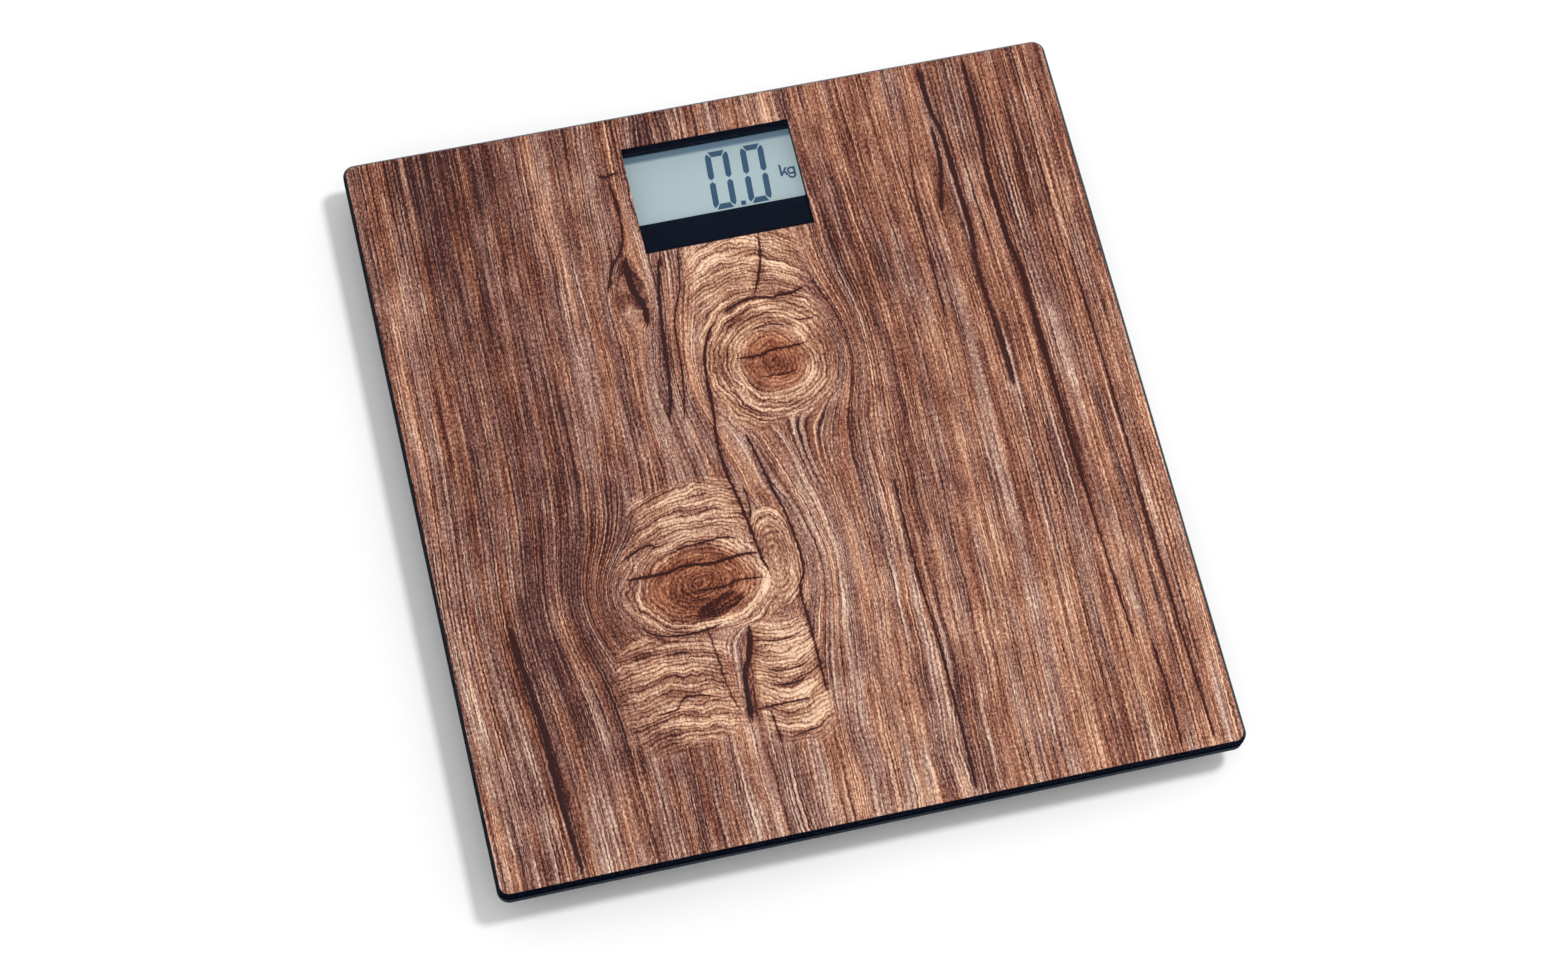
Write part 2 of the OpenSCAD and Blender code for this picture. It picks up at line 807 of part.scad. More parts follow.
module foot_cup() {
  color([0.62, 0.66, 0.7]) difference() {
    union() {
      translate([0, 0, cup_z]) cylinder(h = cup_t - cup_edge, r = foot_r);
      translate([0, 0, cup_z + cup_t - cup_edge])
        cylinder(h = cup_edge, r1 = foot_r, r2 = foot_r - cup_edge);
      translate([0, 0, cup_z + cup_t - eps]) cylinder(h = neck_top - cup_z - cup_t, r = neck_r);
      block(boss_w, boss_w, cell_z - boss_z, boss_z);
    }
    translate([0, 0, cup_z - eps]) cylinder(h = pad_h - cup_z + eps, r = pad_r + running_fit);
  }
}

module foot_pad() {
  r = pad_r;
  color([0.14, 0.15, 0.17]) rotate_extrude() polygon([
    [0, 0.5], [r - 9, 0.5], [r - 8.4, 0], [r - 5, 0], [r - 4.6, 0.4], [r - 3.8, 0.4], [r - 3.4, 0],
    [r - 0.6, 0], [r, 0.6], [r, pad_h], [0, pad_h]
  ]);
}

// One wire of the three from each load cell
module sensor_wires(lane) {
  for (mirrored = [0, 1], end = [-1, 1]) mirror([mirrored, 0, 0]) wire(sensor_route(end, lane));
}

module sensor_wires_red() {
  color("red") sensor_wires(-1);
}

module sensor_wires_white() {
  color("white") sensor_wires(0);
}

module sensor_wires_black() {
  color([0.1, 0.1, 0.1]) sensor_wires(1);
}

decor_film();
glass_platform();
back_print();
platform_tape();
base_tray();
display_frame();
lcd_panel();
lcd_segments();
lcd_reflector();
zebra_strips();
main_board();
display_screws();
chip_blob();
smd_parts();
clock_crystal();
buffer_capacitor();
tact_switch();
switch_plunger();
unit_button();
coin_cell();
battery_contact_positive();
battery_contact_negative();
battery_lead_positive();
battery_lead_negative();
battery_door();
load_cell(-1, -1);  // load_cell_front_left
load_cell(1, -1);  // load_cell_front_right
load_cell(-1, 1);  // load_cell_rear_left
load_cell(1, 1);  // load_cell_rear_right
strain_gauges();
at_foot(-1, -1) sensor_retainer();  // sensor_retainer_front_left
at_foot(1, -1) sensor_retainer();  // sensor_retainer_front_right
at_foot(-1, 1) sensor_retainer();  // sensor_retainer_rear_left
at_foot(1, 1) sensor_retainer();  // sensor_retainer_rear_right
retainer_screws();
sensor_wires_red();
sensor_wires_white();
sensor_wires_black();
at_foot(-1, -1) foot_cup();  // foot_cup_front_left
at_foot(1, -1) foot_cup();  // foot_cup_front_right
at_foot(-1, 1) foot_cup();  // foot_cup_rear_left
at_foot(1, 1) foot_cup();  // foot_cup_rear_right
at_foot(-1, -1) foot_pad();  // foot_pad_front_left
at_foot(1, -1) foot_pad();  // foot_pad_front_right
at_foot(-1, 1) foot_pad();  // foot_pad_rear_left
at_foot(1, 1) foot_pad();  // foot_pad_rear_right
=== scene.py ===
"""Looks of a digital bathroom scale: a wood-grain platform on a slim blue-grey tray."""
import math

import bpy
from mathutils import Matrix, Vector


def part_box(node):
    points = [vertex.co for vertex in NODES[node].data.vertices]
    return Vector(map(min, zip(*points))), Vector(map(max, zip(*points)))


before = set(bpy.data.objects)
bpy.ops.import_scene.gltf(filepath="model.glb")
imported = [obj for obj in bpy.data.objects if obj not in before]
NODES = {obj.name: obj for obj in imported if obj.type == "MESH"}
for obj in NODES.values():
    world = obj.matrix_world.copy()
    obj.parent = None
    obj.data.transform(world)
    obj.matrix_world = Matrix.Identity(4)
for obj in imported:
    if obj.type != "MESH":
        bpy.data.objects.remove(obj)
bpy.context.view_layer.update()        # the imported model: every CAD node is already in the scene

MM = 0.001
TOP_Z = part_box("decor_film")[1][2]


# ---- numbers that vary over a surface, written as arithmetic ----

class Term:
    """An output socket of a node tree that can be added, scaled and passed to functions."""

    def __init__(self, tree, socket):
        self.tree = tree
        self.socket = socket

    def math(self, operation, *others):
        node = self.tree.nodes.new("ShaderNodeMath")
        node.operation = operation
        for slot, value in zip(node.inputs, (self,) + others):
            plug(self.tree, slot, value)
        return Term(self.tree, node.outputs[0])

    def __add__(self, other):
        return self.math("ADD", other)

    def __sub__(self, other):
        return self.math("SUBTRACT", other)

    def __mul__(self, other):
        return self.math("MULTIPLY", other)

    def __truediv__(self, other):
        return self.math("DIVIDE", other)

    def __rsub__(self, other):
        return (self * -1.0) + other

    __radd__ = __add__
    __rmul__ = __mul__

    def absolute(self):
        return self.math("ABSOLUTE")

    def power(self, exponent):
        return self.math("POWER", exponent)

    def fourth_power(self):
        """For values of either sign, which the power node doesn't take."""
        return (self * self).power(2.0)

    def most(self, other):
        return self.math("MAXIMUM", other)

    def sine(self):
        return self.math("SINE")

    def step(self, start, end, low=0.0, high=1.0):
        """Goes smoothly from low to high as the value goes from start to end; level outside."""
        node = self.tree.nodes.new("ShaderNodeMapRange")
        node.interpolation_type = "SMOOTHSTEP"
        for name, value in zip(("Value", "From Min", "From Max", "To Min", "To Max"),
                               (self, start, end, low, high)):
            plug(self.tree, node.inputs[name], value)
        return Term(self.tree, node.outputs["Result"])

    def curve(self, points, start, end, low, high):
        """Smooth curve through (value, result) points, in start..end and low..high."""
        scaled = (self - start) / (end - start)
        node = self.tree.nodes.new("ShaderNodeFloatCurve")
        plug(self.tree, node.inputs["Value"], scaled)
        line = node.mapping.curves[0]
        spots = [((a - start) / (end - start), (b - low) / (high - low))
                 for a, b in sorted(points)]
        while len(line.points) < len(spots):
            line.points.new(0.5, 0.5)
        for point, spot in zip(line.points, spots):
            point.location = spot
        node.mapping.update()
        return Term(self.tree, node.outputs[0]) * (high - low) + low


def plug(tree, slot, value):
    """Feeds a socket from a Term, another socket or a plain value."""
    if isinstance(value, Term):
        tree.links.new(value.socket, slot)
    elif isinstance(value, bpy.types.NodeSocket):
        tree.links.new(value, slot)
    else:
        slot.default_value = value


def mix(factor, low, high):
    return low + (high - low) * factor


def place(tree):
    """The point's place in millimetres, as three Terms."""
    coordinates = tree.nodes.new("ShaderNodeTexCoord")
    split = tree.nodes.new("ShaderNodeSeparateXYZ")
    tree.links.new(coordinates.outputs["Object"], split.inputs[0])
    return [Term(tree, split.outputs[axis]) * (1 / MM) for axis in "XYZ"]


def noise(tree, x, y, z=0.0, detail=2.0, rough=0.5):
    """Perlin noise at (x, y, z), which averages 0.5."""
    joined = tree.nodes.new("ShaderNodeCombineXYZ")
    for slot, value in zip(joined.inputs, (x, y, z)):
        plug(tree, slot, value)
    node = tree.nodes.new("ShaderNodeTexNoise")
    tree.links.new(joined.outputs[0], node.inputs["Vector"])
    node.inputs["Scale"].default_value = 1.0
    node.inputs["Detail"].default_value = detail
    node.inputs["Roughness"].default_value = rough
    return Term(tree, node.outputs["Fac"])


def ramp(tree, factor, stops):
    """Colour ramp through (place, colour) stops; colours are as seen, 0 to 255."""
    node = tree.nodes.new("ShaderNodeValToRGB")
    plug(tree, node.inputs["Fac"], factor)
    elements = node.color_ramp.elements
    while len(elements) < len(stops):
        elements.new(0.5)
    for element, (position, colour) in zip(elements, stops):
        element.position = position
        element.color = seen(colour)
    return node.outputs["Color"]


def two_tone(tree, factor, colours, start):
    """Goes from the first colour to the second as the factor goes from start to 1 - start."""
    return ramp(tree, factor, [(start, colours[0]), (1 - start, colours[1])])


def seen(colour):
    """A colour as seen on a screen, 0 to 255, turned into linear light."""
    linear = [(c / 255 / 12.92) if c <= 10 else ((c / 255 + 0.055) / 1.055) ** 2.4 for c in colour]
    return (*linear, 1.0)


def blend_colour(tree, factor, low, high, mode="MIX"):
    node = tree.nodes.new("ShaderNodeMix")
    node.data_type = "RGBA"
    node.blend_type = mode
    for slot, value in ((node.inputs[0], factor), (node.inputs[6], low), (node.inputs[7], high)):
        plug(tree, slot, value)
    return node.outputs[2]


def bump(tree, shader, height, depth):
    """Surface relief: height runs 0 to 1 and depth is in metres."""
    node = tree.nodes.new("ShaderNodeBump")
    node.inputs["Strength"].default_value = 1.0
    node.inputs["Distance"].default_value = depth
    plug(tree, node.inputs["Height"], height)
    tree.links.new(node.outputs["Normal"], shader.inputs["Normal"])


def new_material(name, **values):
    """Empty material with a Principled shader; values name its sockets with _ for a space."""
    material = bpy.data.materials.new(name)
    material.use_nodes = True
    tree = material.node_tree
    shader = tree.nodes["Principled BSDF"]
    for socket, value in values.items():
        shader.inputs[socket.replace("_", " ")].default_value = value
    return material, tree, shader


def let_through(tree, surface, *rays):
    """Makes a surface clear to the named kinds of ray, so that the display stays evenly lit."""
    path = tree.nodes.new("ShaderNodeLightPath")
    passes = None
    for ray in rays:
        one = Term(tree, path.outputs[ray])
        passes = one if passes is None else passes.most(one)
    clear = tree.nodes.new("ShaderNodeBsdfTransparent")
    choice = tree.nodes.new("ShaderNodeMixShader")
    plug(tree, choice.inputs["Fac"], passes)
    tree.links.new(surface, choice.inputs[1])
    tree.links.new(clear.outputs[0], choice.inputs[2])
    tree.links.new(choice.outputs[0], tree.nodes["Material Output"].inputs["Surface"])


def dress(material, *names):
    """Gives a material to CAD nodes."""
    for name in names:
        for slot in NODES[name].material_slots:
            slot.material = material


# ---- camera, light and floor ----

CAMERA_PLACE = Vector((-0.2143, -0.5597, 1.4164))
CAMERA_TARGET = Vector((-0.0087, -0.0156, TOP_Z))
CAMERA_ROLL = math.radians(8.03)
SENSOR_WIDTH, FOCAL_LENGTH = 36, 88     # in millimetres
KEY_PLACE = Vector((0.98, 0.2, 1.92))
KEY_SIZE, KEY_WATTS = 0.4, 23
SKY_STRENGTH = 0.72
FLOOR_SIZE = 6
FLOOR_TINTS = ((250, 250, 250), (254, 254, 254))


def aim(origin, target):
    """Turn that points a camera or lamp at the target."""
    return (target - origin).to_track_quat("-Z", "Y")


def make_camera():
    data = bpy.data.cameras.new("camera")
    data.sensor_width = SENSOR_WIDTH
    data.lens = FOCAL_LENGTH
    camera = bpy.data.objects.new("camera", data)
    bpy.context.collection.objects.link(camera)
    turn = aim(CAMERA_PLACE, CAMERA_TARGET).to_matrix().to_4x4()
    camera.matrix_world = (Matrix.Translation(CAMERA_PLACE) @ turn
                           @ Matrix.Rotation(CAMERA_ROLL, 4, "Z"))
    bpy.context.scene.camera = camera


def make_key_light():
    data = bpy.data.lights.new("key", "AREA")
    data.shape = "DISK"
    data.size = KEY_SIZE
    data.energy = KEY_WATTS
    light = bpy.data.objects.new("key", data)
    light.location = KEY_PLACE
    light.rotation_euler = aim(KEY_PLACE, Vector()).to_euler()
    bpy.context.collection.objects.link(light)


def make_sky():
    world = bpy.data.worlds.new("studio")
    bpy.context.scene.world = world
    world.use_nodes = True
    background = world.node_tree.nodes["Background"]
    background.inputs["Color"].default_value = (1.0, 1.0, 1.0, 1.0)
    background.inputs["Strength"].default_value = SKY_STRENGTH
    bpy.context.scene.view_settings.view_transform = "Standard"


def make_floor():
    bpy.ops.mesh.primitive_plane_add(size=FLOOR_SIZE)
    floor = bpy.context.object
    floor.name = "floor"
    material, tree, shader = new_material("floor_paper", Roughness=0.9)
    x, y, _ = place(tree)
    shade = noise(tree, x * 0.01, y * 0.01)
    tint = two_tone(tree, shade, FLOOR_TINTS, 0.3)
    tree.links.new(tint, shader.inputs["Base Color"])
    floor.data.materials.append(material)


# ---- wood-grain print ----
# Places on the print are in millimetres from the platform's middle.

# Each knot: middle x and y, half width and half height
UPPER_KNOT = (4.7, 38, 17.5, 17.5)
LOWER_KNOT = (-46, -50, 29, 20)
SIDE_SWIRL = (-15, -46, 7, 15)
SMALL_SWIRL = (-45, 77, 5, 10)
UPPER_HEART = (5, 37.5, 13.5, 14.5)
UPPER_CORE = (5, 36.5, 8, 4.5)
LOWER_HEART = (-46, -50.5, 25, 17.5)
LOWER_CORE = (-47, -54, 14, 9)
BURNT_WEDGE = (-41, -61.5, 12, 4.6)
KNOT_PARTS = ((UPPER_KNOT, UPPER_HEART, UPPER_CORE), (LOWER_KNOT, LOWER_HEART, LOWER_CORE))

# Broad shading of the board: (x, tone) pairs and (y, tone) pairs
SHADE_ACROSS = [
    (-150, -0.17), (-145, 0.0), (-139, 0.0), (-128, -0.09), (-95, -0.12), (-60, -0.03), (-20, 0.05),
    (30, 0.03), (55, -0.04), (90, 0.0), (110, -0.03), (140, 0.04), (150, 0.0),
]
SHADE_ALONG = [(-160, 0.12), (-130, 0.06), (-60, 0.03), (40, 0.0), (100, 0.02), (160, -0.05)]

# Browns of the print from its darkest tone, 0, to its palest, 1, and what multiplies them
WOOD_BROWNS = [
    (0.0, (54, 32, 36)), (0.12, (94, 56, 52)), (0.26, (119, 79, 73)), (0.38, (139, 98, 90)),
    (0.50, (159, 120, 111)), (0.61, (178, 140, 130)), (0.73, (198, 164, 152)),
    (0.85, (219, 190, 176)), (0.98, (242, 220, 208)),
]
MIDDLE_TONE = 0.425
WARM_TINT = (255, 231, 202)
COOL_TINT = (245, 243, 233)
SANDY_TINT = (255, 239, 210)
RUSTY_TINT = (252, 228, 212)

# Splits that run up and down the board: (y, x) pairs, then the widest half width
UPRIGHT_SPLITS = [
    ([(159, 94.5), (138, 95.3), (123, 97.3), (101, 97.8), (81, 98), (63, 96.8), (24, 98),
      (6, 97.8)], 1.0),
    ([(130, 93.5), (113, 93.4), (101, 91), (88, 88)], 0.8),
    ([(159, 114.2), (126, 113.7), (101, 111.7), (81, 111.7), (56, 113.7), (4, 114.2),
      (-44, 114.4)], 0.95),
    ([(120, 82), (96, 79.5), (66, 78.5), (40, 78)], 0.35),
    ([(-30, 114.6), (-80, 115.6), (-110, 117)], 0.4),
    ([(64, 135.8), (-26, 136.6), (-61, 135.8), (-158, 137)], 0.5),
    ([(-110, 123.4), (-136, 124), (-158, 123)], 0.5),
    ([(-22, 40), (-61, 39.5), (-98, 40.5), (-158, 40)], 0.55),
    ([(-52, -123.6), (-86, -120.5), (-101, -119.3), (-131, -118.5), (-158, -116.2)], 0.9),
    ([(132, -44), (106, -43.2), (91, -51), (79, -55.5)], 0.5),
    ([(97, -44), (84, -45), (70, -41.5), (62, -42.5)], 1.3),
    ([(96, -29.5), (76, -34.5), (56, -37), (33, -39.5), (20, -43)], 0.7),
    ([(97, -22.5), (80, -25), (62, -31), (40, -33), (18, -37)], 0.35),
    ([(97, 11.4), (86, 10.2), (77, 7.6), (67, 2.8)], 0.6),
    ([(61, -12), (53, -19.6), (43, -22.9), (33, -23.9), (19, -24.6), (8, -25.9), (-6, -25.2),
      (-17, -23.4), (-29, -21.6), (-44, -19.8), (-54, -17.2)], 0.65),
    ([(10, -14), (-3, -11.5), (-16, -9), (-36, -5), (-51, -4.3), (-62, -8), (-76, -7.6),
      (-106, -7.6)], 0.55),
    ([(-12, -20.5), (-22, -19.5), (-30, -21.5)], 0.4),
    ([(-70, -31), (-82, -33.4), (-91, -37.1), (-101, -38.3), (-112, -38.9)], 1.2),
    ([(-106, -31), (-124, -29.5)], 0.5),
    ([(-66, -48), (-80, -46.5), (-96, -45), (-108, -41)], 0.3),
]

# Splits that run across the board: (x, y) pairs, then the widest half width
LEVEL_SPLITS = [
    ([(-13, 60.5), (-6, 65), (1.5, 67), (12, 65.8), (20, 66.5), (26, 69)], 0.55),
    ([(-11.5, 42), (0, 41.4), (4.7, 43), (12, 42.8), (21, 43.4)], 0.45),
    ([(-5, 51), (4, 54), (11, 53.2), (15, 49.7)], 0.35),
    ([(-3, 32), (6, 31.4), (14, 32)], 0.3),
    ([(15, 57), (20, 53.5), (27, 54.5)], 0.3),
    ([(-76, -42.7), (-57, -43.1), (-52, -41.8), (-47, -42), (-42, -42.8), (-24, -41.8),
      (-19, -47)], 0.65),
    ([(-77, -37), (-69.5, -32.4), (-62, -30.4), (-60, -31.6), (-56.5, -31.2)], 0.45),
    ([(-55, -34.2), (-44, -33.6), (-32, -33.2), (-27, -37)], 0.4),
    ([(-76, -58.5), (-72.5, -64.5), (-67, -68.5), (-57, -70.2), (-47, -69.6), (-40, -68)], 0.5),
    ([(-50, -53), (-38, -53.5), (-30, -52), (-19, -54)], 0.35),
    ([(-77, -100.5), (-67, -99.8), (-62, -95.6), (-50, -98)], 0.45),
    ([(-30, -95), (-22, -98.6), (-12, -95.5)], 0.4),
    ([(-38, -106.5), (-25, -106), (-12, -106.2)], 0.4),
    ([(-29, -77), (-20, -80), (-10, -77)], 0.4),
    ([(-30, -89), (-20, -92.5), (-9.5, -89)], 0.3),
    ([(-27, -120.3), (-12, -118.2)], 0.3),
    ([(-49.5, 140), (-48.6, 135.6), (-45, 133.2), (-41, 133.8), (-37, 133.6)], 0.5),
]

# Pale streaks: (y, x) pairs, then the widest half width
PALE_STREAKS = [
    ([(-5, 36.5), (-60, 37), (-110, 38), (-158, 37)], 1.2),
    ([(90, -142.5), (0, -143), (-100, -142), (-158, -141)], 1.6),
    ([(-60, 9), (-90, 6), (-125, 3)], 0.8),
    ([(60, 45), (20, 42), (-10, 40)], 0.5),
]

# Length over which a split narrows to nothing at each end, at most
LONGEST_TAPER = 6


def ring_of(x, y, knot):
    """Elliptical distance from a knot's middle: 1 on its edge."""
    across = (x - knot[0]) / knot[2]
    along = (y - knot[1]) / knot[3]
    return (across * across + along * along).power(0.5)


def split_line(along, across, points, half_width):
    """How dark one split is at a point, 0 to 1; it tapers to nothing at both ends."""
    start, end = min(p[0] for p in points), max(p[0] for p in points)
    low, high = min(p[1] for p in points) - 1, max(p[1] for p in points) + 1
    line = along.curve(points, start, end, low, high)
    taper = min(LONGEST_TAPER, (end - start) / 3)
    width = along.step(start, start + taper) * along.step(end, end - taper) * half_width + 0.01
    gap = (across - line).absolute() / width
    inside = along.step(start - 0.2, start + 0.3) * along.step(end + 0.2, end - 0.3)
    return (gap.step(1.3, 0.4, 0.0, 0.8) + gap.step(5.0, 0.6, 0.0, 0.2)) * inside


def most_of(along, across, lines, total=None):
    """The darkest of several splits at a point, and of a total so far."""
    for points, half_width in lines:
        one = split_line(along, across, points, half_width)
        total = one if total is None else total.most(one)
    return total


def patch(x, y, middle_x, middle_y, half_w, half_d, edge):
    """1 inside a soft rounded patch of the board, 0 outside it; edge is a noisy Term."""
    across = ((x - middle_x) / half_w).fourth_power()
    along = ((y - middle_y) / half_d).fourth_power()
    return (across + along + edge).step(1.5, 0.2)


def fibre_tone(tree, x, y, flow):
    """Long fibres that follow the flow, averaging about 0."""
    fine = noise(tree, flow * 1.9, y * 0.016, 0.3, detail=1.0, rough=0.6)
    strand = noise(tree, flow * 0.62, y * 0.007, 5.2, detail=2.0, rough=0.65)
    band = noise(tree, flow * 0.15, y * 0.004, 9.7, detail=1.0)
    lined = noise(tree, x * 0.02, y * 0.008, 70.0, detail=1.0)
    lines = ((flow * 3.6 + (strand - 0.5) * 8.0).sine() * 0.5 + 0.5).power(2.0)
    lines = lines * (lined - 0.42).most(0.0) * 1.6
    return (fine - 0.5) * 1.55 + (strand - 0.5) * 0.52 + (band - 0.5) * 0.5 - lines


def thin_lines(level, uneven, period):
    """Dark lines about a period apart along level, averaging a little below 0."""
    phase = level * (2 * math.pi / period) + (uneven - 0.5) * 9.0
    return (phase.sine() * 0.5 + 0.5).power(2.5) * -0.42


def ring_tone(tree, x, y, knot, warp, seed):
    """Uneven rings around a knot, averaging about 0."""
    radius = ring_of(x, y, knot) * ((knot[2] + knot[3]) * 0.5) + warp * 8.0
    uneven = noise(tree, radius * 0.62, x * 0.06, y * 0.06 + seed, detail=2.0, rough=0.6)
    calm = (ring_of(x, y, knot) + warp * 0.5).step(0.55, 0.95, 0.55, 1.0)
    return ((uneven - 0.5) * 1.7 + thin_lines(radius, uneven, 1.7) + 0.09) * calm


def wave_tone(tree, x, y, bow_x, bow, pitch, warp, seed):
    """Wavy bands that run across the board, bowed about x = bow_x, averaging about 0."""
    off = x - bow_x
    level = y - off * off * bow + warp * 9.0
    uneven = noise(tree, level / pitch, x * 0.035, seed, detail=2.0, rough=0.55)
    return (uneven - 0.5) * 1.7 + thin_lines(level, uneven, 1.7) + 0.11


def grain_flow(tree, x, y):
    """Place across the grain, which runs up the board and parts around the knots."""
    middle = x.step(-95, -60) * x.step(80, 35)
    sway = (noise(tree, x * 0.010, y * 0.007, 3.1, detail=1) - 0.5) * 5.0
    ripple = (noise(tree, x * 0.05, y * 0.03, 8.4, detail=2) - 0.5) * (middle * 4.5 + 0.8)
    flow = x + sway + ripple
    for knot, spread in ((UPPER_KNOT, 1.35), (LOWER_KNOT, 1.05), (SMALL_SWIRL, 1.2)):
        ring = (ring_of(x, y, knot) / spread).most(1.0)
        flow = flow - (x - knot[0]) / ring.power(3.0)
    return flow


def add_patches(tree, x, y, warp, tone):
    """Lays patches of rings and of wavy cross grain over the tone; also gives where they are."""
    edge = warp * 1.3
    patches = (
        (wave_tone(tree, x, y, 0, -0.018, 3.4, warp, 33.0), (2, 80, 25, 19)),
        (wave_tone(tree, x, y, -42, -0.012, 3.2, warp, 35.0), (-44, -22, 24, 16)),
        (wave_tone(tree, x, y, -20, 0.022, 3.6, warp, 37.0), (-20, -96, 14, 28)),
        (wave_tone(tree, x, y, -66, -0.006, 3.6, warp, 39.0), (-64, -92, 24, 26)),
        (ring_tone(tree, x, y, UPPER_KNOT, warp, 41.0), (2, 41, 27, 31)),
        (ring_tone(tree, x, y, SIDE_SWIRL, warp, 43.0), (-14, -46, 10, 22)),
        (ring_tone(tree, x, y, LOWER_KNOT, warp, 45.0), (-47, -51, 31, 22)),
    )
    knotty = None
    for pattern, place_of in patches:
        near = patch(x, y, *place_of, edge)
        tone = mix(near, tone, pattern)
        knotty = near if knotty is None else knotty.most(near)
    return tone, knotty


def add_hollow(x, y, warp, tone):
    """Darkens the hollow inside the arc on the upper knot's left."""
    hollow = (ring_of(x, y, UPPER_KNOT) + warp * 0.1 - 1.28).absolute().step(0.24, 0.05)
    left, high = (UPPER_KNOT[0] - x), (y - UPPER_KNOT[1])
    return tone - hollow * left.step(2, 16) * high.step(-22, -10) * 0.17


def add_hearts(x, y, warp, tone):
    """Darkens the hearts of the knots, with a pale ring around each and a burnt wedge in one."""
    for knot, heart, core in KNOT_PARTS:
        rim = (ring_of(x, y, knot) + warp * 0.14 - 0.93).absolute().step(0.13, 0.02)
        low_side = (x + (knot[1] - y) - knot[0]).step(-12, 18, 0.25, 1.0)
        tone = tone + rim * low_side * 0.24
        tone = tone - (ring_of(x, y, heart) + warp * 0.2).step(1.05, 0.8) * 0.12
        tone = tone - (ring_of(x, y, core) + warp * 0.5).step(1.2, 0.5) * 0.20
    tilted = y - (x - BURNT_WEDGE[0]) * 0.3
    return tone - (ring_of(x, tilted, BURNT_WEDGE) + warp * 0.3).step(1.0, 0.75) * 0.42


def add_broad_shading(x, y, tone):
    """Shades whole stretches of the board, first across it and then along it."""
    tone = tone + x.curve(SHADE_ACROSS, -150, 150, -0.2, 0.1)
    tone = tone + y.curve(SHADE_ALONG, -160, 160, -0.1, 0.2)
    return tone - x.step(-70, -110) * y.step(-60, 0) * 0.06


def tinted(tree, colour, tint):
    return blend_colour(tree, 1.0, colour, seen(tint), "MULTIPLY")


def wood_colour(tree, x, y, flow, warp, tone, knotty):
    """Turns tone into brown, warmer here and cooler there, sandy in patches, rusty in hearts."""
    brown = ramp(tree, tone, WOOD_BROWNS)
    hue = noise(tree, flow * 0.13, y * 0.012, 51.0, detail=3.0, rough=0.65)
    warmth = (hue + x.step(-40, 90) * 0.06).step(0.42, 0.62)
    warm = tinted(tree, brown, WARM_TINT)
    cool = tinted(tree, brown, COOL_TINT)
    sandy = tinted(tree, brown, SANDY_TINT)
    colour = blend_colour(tree, knotty * 0.75, blend_colour(tree, warmth, cool, warm), sandy)
    hearts = None
    for heart in (UPPER_HEART, LOWER_HEART):
        inside = (ring_of(x, y, heart) + warp * 0.2).step(1.1, 0.7)
        hearts = inside if hearts is None else hearts.most(inside)
    return blend_colour(tree, hearts, colour, tinted(tree, colour, RUSTY_TINT))


def wood_material():
    """The wood print. Its nodes are made in this order so that Cycles' stack can hold them."""
    material, tree, shader = new_material("wood_print", Roughness=0.6, Specular_IOR_Level=0.06)
    x, y, _ = place(tree)

    # Every line of the print wobbles a little
    wobble = noise(tree, x * 0.45, y * 0.45, 2.0, detail=2) - 0.5
    x = x + wobble * 1.3
    y = y + wobble * 0.9
    splits = most_of(x, y, LEVEL_SPLITS, most_of(y, x, UPRIGHT_SPLITS))
    streaks = most_of(y, x, PALE_STREAKS)
    warp = (noise(tree, x * 0.055, y * 0.055, 21.0, detail=3, rough=0.6) - 0.5) * 1.1

    flow = grain_flow(tree, x, y)
    tone, knotty = add_patches(tree, x, y, warp, fibre_tone(tree, x, y, flow))
    speck = noise(tree, x * 1.05, y * 0.7, 44.0, detail=3.0, rough=0.9)
    hair = noise(tree, x * 2.2, y * 0.07, 31.0, detail=1.0)
    mottle = noise(tree, x * 0.09, y * 0.05, 60.0, detail=3.0, rough=0.6)
    tone = (tone + (speck - 0.5) * 2.2 + (hair - 0.5) * mix(knotty, 0.7, 0.6)
            + (mottle - 0.5) * 0.6 + knotty * 0.125 + MIDDLE_TONE)
    tone = add_hearts(x, y, warp, add_hollow(x, y, warp, tone))
    tone = add_broad_shading(x, y, tone)
    tone = tone + streaks * (hair - 0.1) * 0.42 - splits * 0.85

    colour = wood_colour(tree, x, y, flow, warp, tone, knotty)
    tree.links.new(colour, shader.inputs["Base Color"])
    bump(tree, shader, noise(tree, x * 1.5, y * 0.07, 0.3, detail=2.0), 0.00004)
    let_through(tree, shader.outputs[0], "Is Shadow Ray")
    return material


# ---- the other materials ----

GLASS_TINTS = ((245, 251, 249), (249, 253, 252))
GLASS_MIRROR = (0.05, 0.08, 0.14, 1.0)
GLASS_SIDES = (6, 12, 22)


def dark_sides(tree, shader):
    """The shader on level faces and a dull blue-black on upright ones."""
    upright = tree.nodes.new("ShaderNodeSeparateXYZ")
    tree.links.new(tree.nodes.new("ShaderNodeNewGeometry").outputs["Normal"], upright.inputs[0])
    dull = tree.nodes.new("ShaderNodeBsdfDiffuse")
    dull.inputs["Color"].default_value = seen(GLASS_SIDES)
    sides = tree.nodes.new("ShaderNodeMixShader")
    plug(tree, sides.inputs["Fac"], Term(tree, upright.outputs["Z"]).absolute().step(0.8, 0.4))
    tree.links.new(shader.outputs[0], sides.inputs[1])
    tree.links.new(dull.outputs[0], sides.inputs[2])
    return sides.outputs[0]


